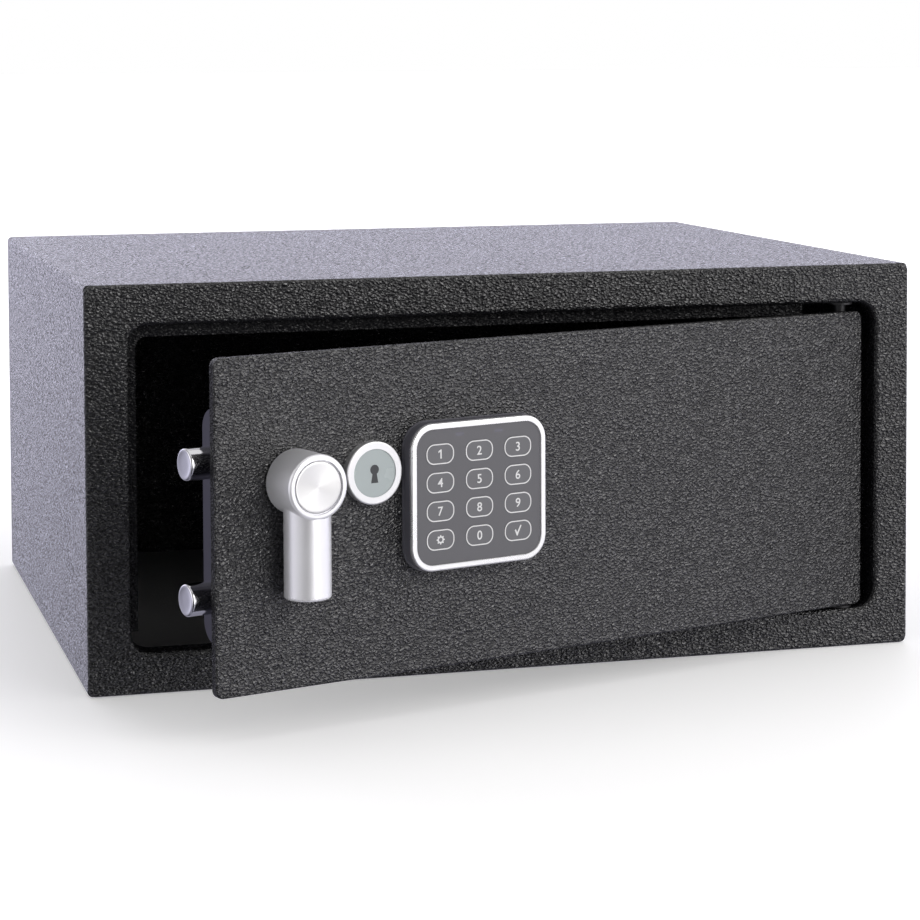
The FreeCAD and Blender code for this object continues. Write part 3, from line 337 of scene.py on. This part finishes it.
def make_materials():
    """Every material: one for each of the frame's slots, and those of single parts and prints."""
    return {
        "textured_black": textured_coat("textured_black", 0.95),
        # Copies of the coat with painted shade: all over on the door stop, and on the door plate's left edge
        "shaded_black": textured_coat("shaded_black", 0.25),
        "door_black_edge_shade": textured_coat("door_black_edge_shade", 0.95, shaded_edge=0.9),
        "satin_grey": plain_paint("satin_grey", (0.05, 0.05, 0.06), 0.4),
        "zinc_steel": metal("zinc_steel", (0.065, 0.063, 0.08), 0.36, (1, 1, 6)),
        "steel": metal("steel", (0.6, 0.6, 0.61), 0.3),
        "black_steel": metal("black_steel", (0.02, 0.02, 0.022), 0.45, metallic=0.4),
        "bolt_chrome": metal("bolt_chrome", (0.7, 0.7, 0.73), 0.08, grain=0.003),
        "satin_silver": metal("satin_silver", (0.88, 0.88, 0.91), 0.42, (1, 1, 8), 0.006, 0.7),
        "spun_silver": spun_metal(),
        "bezel_silver": metal("bezel_silver", (0.9, 0.9, 0.91), 0.28, grain=0.004, metallic=0.85),
        "satin_white": metal("satin_white", (0.78, 0.78, 0.79), 0.3, grain=0.004, metallic=0.85),
        "badge_grey": plastic("badge_grey", (0.34, 0.38, 0.385), 0.25, 0.004),
        "black_plastic": plastic("black_plastic", (0.085, 0.084, 0.1), 0.45),
        "panel_grey": plastic("panel_grey", (0.095, 0.094, 0.104), 0.55, 0.012),
        "key_grey": plastic("key_grey", (0.112, 0.112, 0.122), 0.5),
        "lens": plastic("lens", (0.11, 0.108, 0.13), 0.2, 0.002),
        "mat_rubber": plastic("mat_rubber", (0.2, 0.2, 0.2), 0.7),
        "nylon": plastic("nylon", (0.65, 0.64, 0.58), 0.5),
        "felt": felt(),
        "battery_sleeve": battery_sleeve(),
        "cable": plastic("cable", (0.03, 0.03, 0.032), 0.5),
        "board_green": board(),
        "coil_tape": plastic("coil_tape", (0.35, 0.2, 0.03), 0.35),
        "brass": metal("brass", (0.78, 0.6, 0.28), 0.3),
        "print": plastic("print", (0.62, 0.62, 0.63), 0.5, 0.004),
        "sign": plastic("sign", (0.03, 0.032, 0.036), 0.4, 0.004),
    }


# Parts that differ from their slot: dark steel hinge pins and bushes, and coat copies with painted shade
FINISH_OR_PAINTED_SHADE = {"hinge_pins": "black_steel", "hinge_bushes": "black_steel", "door_stop": "shaded_black",
              "door_plate": "door_black_edge_shade"}


def dress_nodes(materials):
    """Gives each CAD part the material that its slot names, its own finish, or a coat with painted shade."""
    for part in frame["record"]["subparts"]:
        name = part["node"]
        node = NODES[name]
        node.data.materials.clear()
        node.data.materials.append(materials[FINISH_OR_PAINTED_SHADE.get(name, part["material_slot"])])


# ---------------------------------------------------------------- mesh tools
def body_of_node(node):
    """The frame body that a CAD part belongs to."""
    for body, members in frame["record"]["behaviour"]["bodies"].items():
        if node in members:
            return body
    raise ValueError(node)


def new_object(name, data):
    """Puts new data in the scene as an object."""
    made = bpy.data.objects.new(name, data)
    bpy.context.scene.collection.objects.link(made)
    return made


def place_piece(name, mesh, matrix, body, material):
    """Puts a finished mesh in the scene, riding on a body."""
    piece = new_object(name, mesh)
    piece.matrix_world = matrix
    piece.data.materials.clear()
    piece.data.materials.append(material)
    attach(piece, body)
    return piece


def to_mesh(name, made):
    """Turns a bmesh into a mesh and frees it."""
    mesh = bpy.data.meshes.new(name)
    made.to_mesh(mesh)
    made.free()
    return mesh


def to_solid(name, made):
    """Turns a closed bmesh into a mesh whose faces look outwards."""
    bmesh.ops.recalc_face_normals(made, faces=made.faces)
    return to_mesh(name, made)


def rounded_outline(width, height, radius, steps=10):
    """Points round a rounded rectangle about the origin."""
    points = []
    corners = ((1, 1, 0), (-1, 1, 90), (-1, -1, 180), (1, -1, 270))
    for sign_x, sign_y, start in corners:
        centre_x = sign_x * (width / 2 - radius)
        centre_y = sign_y * (height / 2 - radius)
        for step in range(steps + 1):
            angle = math.radians(start + 90 * step / steps)
            points.append((centre_x + radius * math.cos(angle), centre_y + radius * math.sin(angle)))
    return points


def band_mesh(name, outer, inner, thickness):
    """A flat raised band between two outlines with the same number of points."""
    made = bmesh.new()
    rings = []
    for outline, height in ((outer, 0), (outer, thickness), (inner, thickness), (inner, 0)):
        rings.append([made.verts.new((x, y, height)) for x, y in outline])
    count = len(outer)
    for ring, following in zip(rings, rings[1:] + rings[:1]):
        for index in range(count):
            ahead = (index + 1) % count
            made.faces.new((ring[index], ring[ahead], following[ahead], following[index]))
    return to_solid(name, made)


def plate_mesh(name, outline, thickness):
    """A flat raised plate inside a closed outline."""
    made = bmesh.new()
    low = [made.verts.new((x, y, 0)) for x, y in outline]
    high = [made.verts.new((x, y, thickness)) for x, y in outline]
    made.faces.new(high)
    made.faces.new(list(reversed(low)))
    for index in range(len(outline)):
        ahead = (index + 1) % len(outline)
        made.faces.new((low[index], low[ahead], high[ahead], high[index]))
    return to_solid(name, made)


def text_mesh(name, text, size, thickness, weight):
    """A solid mesh of one character, centred on the origin."""
    curve = bpy.data.curves.new(name, "FONT")
    curve.body = text
    curve.size = size
    curve.extrude = thickness / 2
    curve.offset = weight
    curve.align_x = "CENTER"
    curve.align_y = "CENTER"
    holder = new_object(name, curve)
    bpy.context.view_layer.update()
    evaluated = holder.evaluated_get(bpy.context.evaluated_depsgraph_get())
    mesh = bpy.data.meshes.new_from_object(evaluated)
    bpy.data.objects.remove(holder)
    xs = [vertex.co.x for vertex in mesh.vertices]
    ys = [vertex.co.y for vertex in mesh.vertices]
    middle = Vector(((min(xs) + max(xs)) / 2, (min(ys) + max(ys)) / 2, -thickness / 2))
    mesh.transform(Matrix.Translation(-middle))
    return mesh


def lathe_mesh(name, profile, steps=96):
    """A solid of revolution about Z from (radius, height) points that start and end on the axis."""
    made = bmesh.new()
    rings = []
    for radius, height in profile:
        if radius == 0:
            rings.append([made.verts.new((0, 0, height))])
            continue
        ring = []
        for step in range(steps):
            angle = 2 * math.pi * step / steps
            ring.append(made.verts.new((radius * math.cos(angle), radius * math.sin(angle), height)))
        rings.append(ring)
    for ring, following in zip(rings, rings[1:]):
        for index in range(steps):
            ahead = (index + 1) % steps
            corners = [ring[index % len(ring)], ring[ahead % len(ring)],
                       following[ahead % len(following)], following[index % len(following)]]
            made.faces.new(list(dict.fromkeys(corners)))
    mesh = to_solid(name, made)
    smooth_gentle_edges(mesh)
    return mesh


def smooth_gentle_edges(mesh):
    """Shades smoothly across every edge that bends only a little."""
    made = bmesh.new()
    made.from_mesh(mesh)
    for face in made.faces:
        face.smooth = True
    for edge in made.edges:
        edge.smooth = edge.calc_face_angle(0) < SMOOTH_BELOW
    made.to_mesh(mesh)
    made.free()


def dished_end(radius, dish, power, dish_steps, rounding, rounding_steps):
    """Profile of a round end from its axis outwards: a faint dish, then a rounded edge.

    A higher power keeps the dish flatter up to its rim."""
    face = radius - rounding
    profile = [(0, -dish)]
    for step in range(1, dish_steps + 1):
        share = step / dish_steps
        profile.append((share * face, -dish * (1 - share ** power)))
    for step in range(1, rounding_steps + 1):
        turn = math.radians(90) * step / rounding_steps
        profile.append((face + rounding * math.sin(turn), rounding * (math.cos(turn) - 1)))
    return profile


# ---------------------------------------------------------------- print on the keys and the badge
def gear_outlines():
    """A gear's toothed outline and its round hole, with the same number of points."""
    steps = 4 * GEAR_TEETH
    outer = []
    inner = []
    for step in range(steps):
        angle = 2 * math.pi * (step - 0.5) / steps
        radius = GEAR_TIP_RADIUS if step % 4 in (0, 1) else GEAR_ROOT_RADIUS
        outer.append((radius * math.cos(angle), radius * math.sin(angle)))
        inner.append((GEAR_HOLE_RADIUS * math.cos(angle), GEAR_HOLE_RADIUS * math.sin(angle)))
    return outer, inner


def tick_outline():
    """A tick sign with a short and a long stroke."""
    short_stroke = ((-1.9, 0.3), (-1.3, 0.75), (-0.55, -0.85))
    long_stroke = ((1.35, 2.6), (1.95, 2.45), (-0.35, -2.4), (-0.75, -2.4))
    return [(x * MM, y * MM) for x, y in short_stroke + long_stroke]


def one_outline():
    """The figure one: an upright with a slanting flag and no foot."""
    upright = ((0.75, 2.15), (0.75, -2.15), (0.05, -2.15), (0.05, 1.2))
    flag = ((-1.0, 0.55), (-1.0, 1.3), (0.2, 2.15))
    return [(x * MM, y * MM) for x, y in upright + flag]


def legend_mesh(key):
    """The sign printed on a key."""
    name = "legend_" + key
    if key == "key_settings":
        return band_mesh(name, *gear_outlines(), PRINT_THICKNESS)
    if key == "key_1":
        return plate_mesh(name, one_outline(), PRINT_THICKNESS)
    if key == "key_enter":
        return plate_mesh(name, tick_outline(), PRINT_THICKNESS)
    return text_mesh(name, key[-1], TYPE_SIZE, PRINT_THICKNESS, TYPE_WEIGHT)


def outline_mesh(key):
    """The rounded line printed round a key's face."""
    low, high = closed_box(key)
    width = high.x - low.x - 2 * OUTLINE_INSET
    height = high.z - low.z - 2 * OUTLINE_INSET
    outer = rounded_outline(width, height, OUTLINE_RADIUS)
    inner = rounded_outline(width - 2 * OUTLINE_WIDTH, height - 2 * OUTLINE_WIDTH,
                            OUTLINE_RADIUS - OUTLINE_WIDTH)
    return band_mesh("outline_" + key, outer, inner, PRINT_THICKNESS)


def print_keys(materials):
    """Pale outline and legend on every key."""
    for key in KEYS:
        axes = front_of(key)
        body = body_of_node(key)
        place_piece("outline_" + key, outline_mesh(key), axes, body, materials["print"])
        place_piece("legend_" + key, legend_mesh(key), axes, body, materials["print"])


def keyhole_outline():
    """A plain keyhole sign: a round head over a flared foot."""
    points = []
    steps = 24
    for step in range(steps + 1):
        angle = math.radians(-60 + 300 * step / steps)
        points.append((SIGN_HEAD_RADIUS * math.cos(angle),
                       SIGN_HEAD_RISE + SIGN_HEAD_RADIUS * math.sin(angle)))
    points.append((-SIGN_FOOT_HALF_WIDTH, -SIGN_FOOT_DROP))
    points.append((SIGN_FOOT_HALF_WIDTH, -SIGN_FOOT_DROP))
    return points


def sign_badge(materials):
    """Keyhole sign on the badge."""
    mesh = plate_mesh("badge_keyhole_sign", keyhole_outline(), PRINT_THICKNESS)
    place_piece("badge_keyhole_sign", mesh, front_of("badge_disc"), body_of_node("badge_disc"),
                materials["sign"])


# ---------------------------------------------------------------- cap, bolts and mat
def spun_cap(materials):
    """The handle's cap with a softly rounded rim and a faintly dished face."""
    low, high = closed_box("handle_cap")
    radius = (high.x - low.x) / 2
    thick = high.y - low.y
    profile = dished_end(radius, CAP_DISH, 2, 12, CAP_ROUNDING, 5)
    profile += [(radius, -thick), (0, -thick)]
    piece = place_piece("spun_cap", lathe_mesh("spun_cap", profile), front_of("handle_cap"),
                        body_of_node("handle_cap"), materials["spun_silver"])
    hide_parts("handle_cap")


def turned_bolts(materials):
    """Both bolts as turned rods with a slightly hollowed end and a rounded edge."""
    low, high = closed_box("locking_bolts")
    radius = (high.y - low.y) / 2
    length = high.x - low.x
    # A second ring close behind the rounded edge keeps its smooth shading off the straight side
    second_ring = 1.5 * BOLT_ROUNDING
    profile = dished_end(radius, BOLT_DISH, 4, 8, BOLT_ROUNDING, 6)
    profile += [(radius, -second_ring), (radius, -length), (0, -length)]
    body = body_of_node("locking_bolts")
    for place, height in (("upper", high.z - radius), ("lower", low.z + radius)):
        end = Matrix.Translation((low.x, (low.y + high.y) / 2, height))
        axes = DOOR @ end @ Matrix.Rotation(math.radians(-90), 4, "Y")
        piece = place_piece("turned_bolt_" + place, lathe_mesh("turned_bolt_" + place, profile),
                            axes, body, materials["bolt_chrome"])
        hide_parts("locking_bolts")


def rippled_sheet(name, low, high, top, columns=60, rows=48):
    """A level sheet over a box's plan, at the given height and with a very slight ripple."""
    made = bmesh.new()
    turn_x, turn_y = MAT_RIPPLE_TURNS
    grid = []
    for row in range(rows + 1):
        y = low.y + (high.y - low.y) * row / rows
        line = []
        for column in range(columns + 1):
            x = low.x + (high.x - low.x) * column / columns
            ripple = MAT_RIPPLE * math.sin(turn_x * x) * math.sin(turn_y * y)
            line.append(made.verts.new((x, y, top + ripple)))
        grid.append(line)
    for line, following in zip(grid, grid[1:]):
        for column in range(columns):
            made.faces.new((line[column], line[column + 1], following[column + 1], following[column]))
    return to_mesh(name, made)


def soft_mat(materials):
    """Floor mat as a cut felt sheet with rounded, slightly uneven edges."""
    low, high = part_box("floor_mat")
    mesh = rippled_sheet("felt_mat", low, high, high.z - MAT_TOP_GAP)
    piece = place_piece("felt_mat", mesh, Matrix.Identity(4), body_of_node("floor_mat"),
                        materials["felt"])
    thickness = piece.modifiers.new("thickness", "SOLIDIFY")
    thickness.thickness = high.z - low.z - MAT_TOP_GAP - MAT_BOTTOM_GAP
    thickness.offset = -1
    edge = piece.modifiers.new("edge", "BEVEL")
    edge.width = MAT_EDGE_ROUNDING
    edge.segments = 2
    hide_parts("floor_mat")


# ---------------------------------------------------------------- stage, light, camera
def pale_floor():
    """Plain pale floor that runs off behind the safe and glows more with distance."""
    mesh = bpy.data.meshes.new("floor")
    corners = [(sign_x * FLOOR_REACH, sign_y * FLOOR_REACH, 0)
               for sign_x, sign_y in ((-1, -1), (1, -1), (1, 1), (-1, 1))]
    mesh.from_pydata(corners, [], [(0, 1, 2, 3)])
    floor = new_object("floor", mesh)
    floor.location.z = -FLOOR_DROP
    colour = (0.86, 0.86, 0.865)
    material, tree, shader = new_material("pale_floor", colour, 0.0, 0.6)
    vary(tree, shader, colour, amount=0.01, roughness=0.6, spread=0.03, scale=3.0)
    far = add(tree, "ShaderNodeVectorMath", {0: object_place(tree)}, operation="LENGTH").outputs["Value"]
    shader.inputs["Emission Color"].default_value = (*WHITE, 1)
    tree.links.new(remap(tree, far, (0.3, 2.2), (0.3, 0.8)), shader.inputs["Emission Strength"])
    mesh.materials.append(material)
    floor.visible_glossy = False


def ramp(tree, value, stops):
    """A smooth curve through (position, brightness) stops."""
    curve = add(tree, "ShaderNodeValToRGB", {0: value})
    elements = curve.color_ramp.elements
    while len(elements) < len(stops):
        elements.new(1.0)
    for element, (position, brightness) in zip(elements, stops):
        element.position = position
        element.color = (brightness, brightness, brightness, 1)
    curve.color_ramp.interpolation = "EASE"
    return curve.outputs["Color"]


def surrounding_light(tree, direction):
    """Light from each bearing, weaker from below, with an even grey overhead."""
    towards_front = maths(tree, "MULTIPLY", direction["Y"], -1.0)
    bearing = maths(tree, "ARCTAN2", direction["X"], towards_front)
    turn = maths(tree, "MULTIPLY_ADD", bearing, 1 / (2 * math.pi), 0.5)
    stops = [(0.5 + degrees / 360, brightness) for degrees, brightness in SURROUNDINGS]
    rising = remap(tree, direction["Z"], (-0.4, 0.05), (0.25, 1.4))
    graded = add(tree, "ShaderNodeVectorMath", {0: ramp(tree, turn, stops), "Scale": rising},
                 operation="SCALE").outputs[0]
    overhead = remap(tree, direction["Z"], (0.35, 0.8), (0.0, 1.0))
    return blend_colours(tree, overhead, graded, OVERHEAD_GREY)


def surrounding_tint(tree, direction):
    """Nearly neutral from the front and above, cooler from behind and below."""
    below = maths(tree, "MULTIPLY", direction["Z"], -1.0)
    behind_and_below = maths(tree, "MULTIPLY_ADD", direction["Y"], 0.6, below)
    share = remap(tree, behind_and_below, (-0.4, 0.5), (0.0, 1.0))
    return blend_colours(tree, share, FRONT_TINT, BACK_TINT)


def studio_world():
    """Surroundings by compass direction, with a dark patch straight in front of the safe and a
    bright one to its right. The camera itself sees plain white."""
    world = bpy.data.worlds.new("studio")
    bpy.context.scene.world = world
    world.use_nodes = True
    tree = world.node_tree
    tree.nodes.clear()
    generated = add(tree, "ShaderNodeTexCoord").outputs["Generated"]
    direction = add(tree, "ShaderNodeSeparateXYZ", {0: generated}).outputs
    lit = surrounding_light(tree, direction)
    tinted = blend_colours(tree, 1.0, lit, surrounding_tint(tree, direction), "MULTIPLY")
    seen = add(tree, "ShaderNodeLightPath").outputs["Is Camera Ray"]
    background = add(tree, "ShaderNodeBackground", {"Color": blend_colours(tree, seen, tinted, WHITE)})
    output = add(tree, "ShaderNodeOutputWorld")
    tree.links.new(background.outputs[0], output.inputs[0])


def soft_box(name, place, target, width, height, brightness, colour=WHITE):
    """A rectangular studio light aimed at a point, with a brightness relative to white."""
    data = bpy.data.lights.new(name, "AREA")
    data.shape = "RECTANGLE"
    data.size = width
    data.size_y = height
    data.energy = brightness * math.pi * width * height
    data.color = colour
    light = new_object(name, data)
    light.location = place
    aim = Vector(target) - Vector(place)
    light.rotation_euler = aim.to_track_quat("-Z", "Y").to_euler()


def studio_lights():
    """A large panel above and a smaller, brighter one high on the right of the front."""
    middle = (0, -0.1, 0.1)
    soft_box("overhead", (0.1, -0.1, 2.0), middle, 2.4, 2.0, 0.6)
    soft_box("front_right", (1.15, -1.35, 1.25), middle, 0.9, 0.7, 3.0, (1.0, 0.98, 0.95))


def shift_lens(camera):
    """Shifts the view down from the camera's own place only: views from elsewhere stay centred."""
    curve = camera.data.driver_add("shift_y")
    curve.driver.type = "AVERAGE"
    place = curve.driver.variables.new()
    place.targets[0].id = camera
    place.targets[0].data_path = "location.x"
    # The driver reads its keys only once the default modifier is gone
    for modifier in list(curve.modifiers):
        curve.modifiers.remove(modifier)
    for offset, shift in ((-SHIFT_REACH, 0.0), (0.0, LENS_SHIFT), (SHIFT_REACH, 0.0)):
        curve.keyframe_points.insert(CAMERA_PLACE.x + offset, shift)
    for key in curve.keyframe_points:
        key.interpolation = "LINEAR"


def studio_camera():
    """A long lens from the left of the front, a little above the top, with its view shifted down."""
    level = math.cos(CAMERA_ELEVATION)
    forward = Vector((-math.sin(CAMERA_AZIMUTH) * level, math.cos(CAMERA_AZIMUTH) * level,
                      -math.sin(CAMERA_ELEVATION)))
    level_right = forward.cross(Vector((0, 0, 1))).normalized()
    level_up = level_right.cross(forward)
    right = level_right * math.cos(CAMERA_ROLL) + level_up * math.sin(CAMERA_ROLL)
    up = level_up * math.cos(CAMERA_ROLL) - level_right * math.sin(CAMERA_ROLL)
    data = bpy.data.cameras.new("camera")
    data.sensor_width = SENSOR_WIDTH_MM
    data.lens = FOCAL_LENGTH_MM
    data.clip_end = 100.0
    camera = new_object("camera", data)
    matrix = Matrix((right, up, -forward)).transposed().to_4x4()
    matrix.translation = CAMERA_PLACE
    camera.matrix_world = matrix
    shift_lens(camera)
    bpy.context.scene.camera = camera


MATERIALS = make_materials()
dress_nodes(MATERIALS)
print_keys(MATERIALS)
sign_badge(MATERIALS)
spun_cap(MATERIALS)
turned_bolts(MATERIALS)
soft_mat(MATERIALS)
pale_floor()
studio_world()
studio_lights()
studio_camera()
bpy.context.scene.view_settings.view_transform = "Standard"
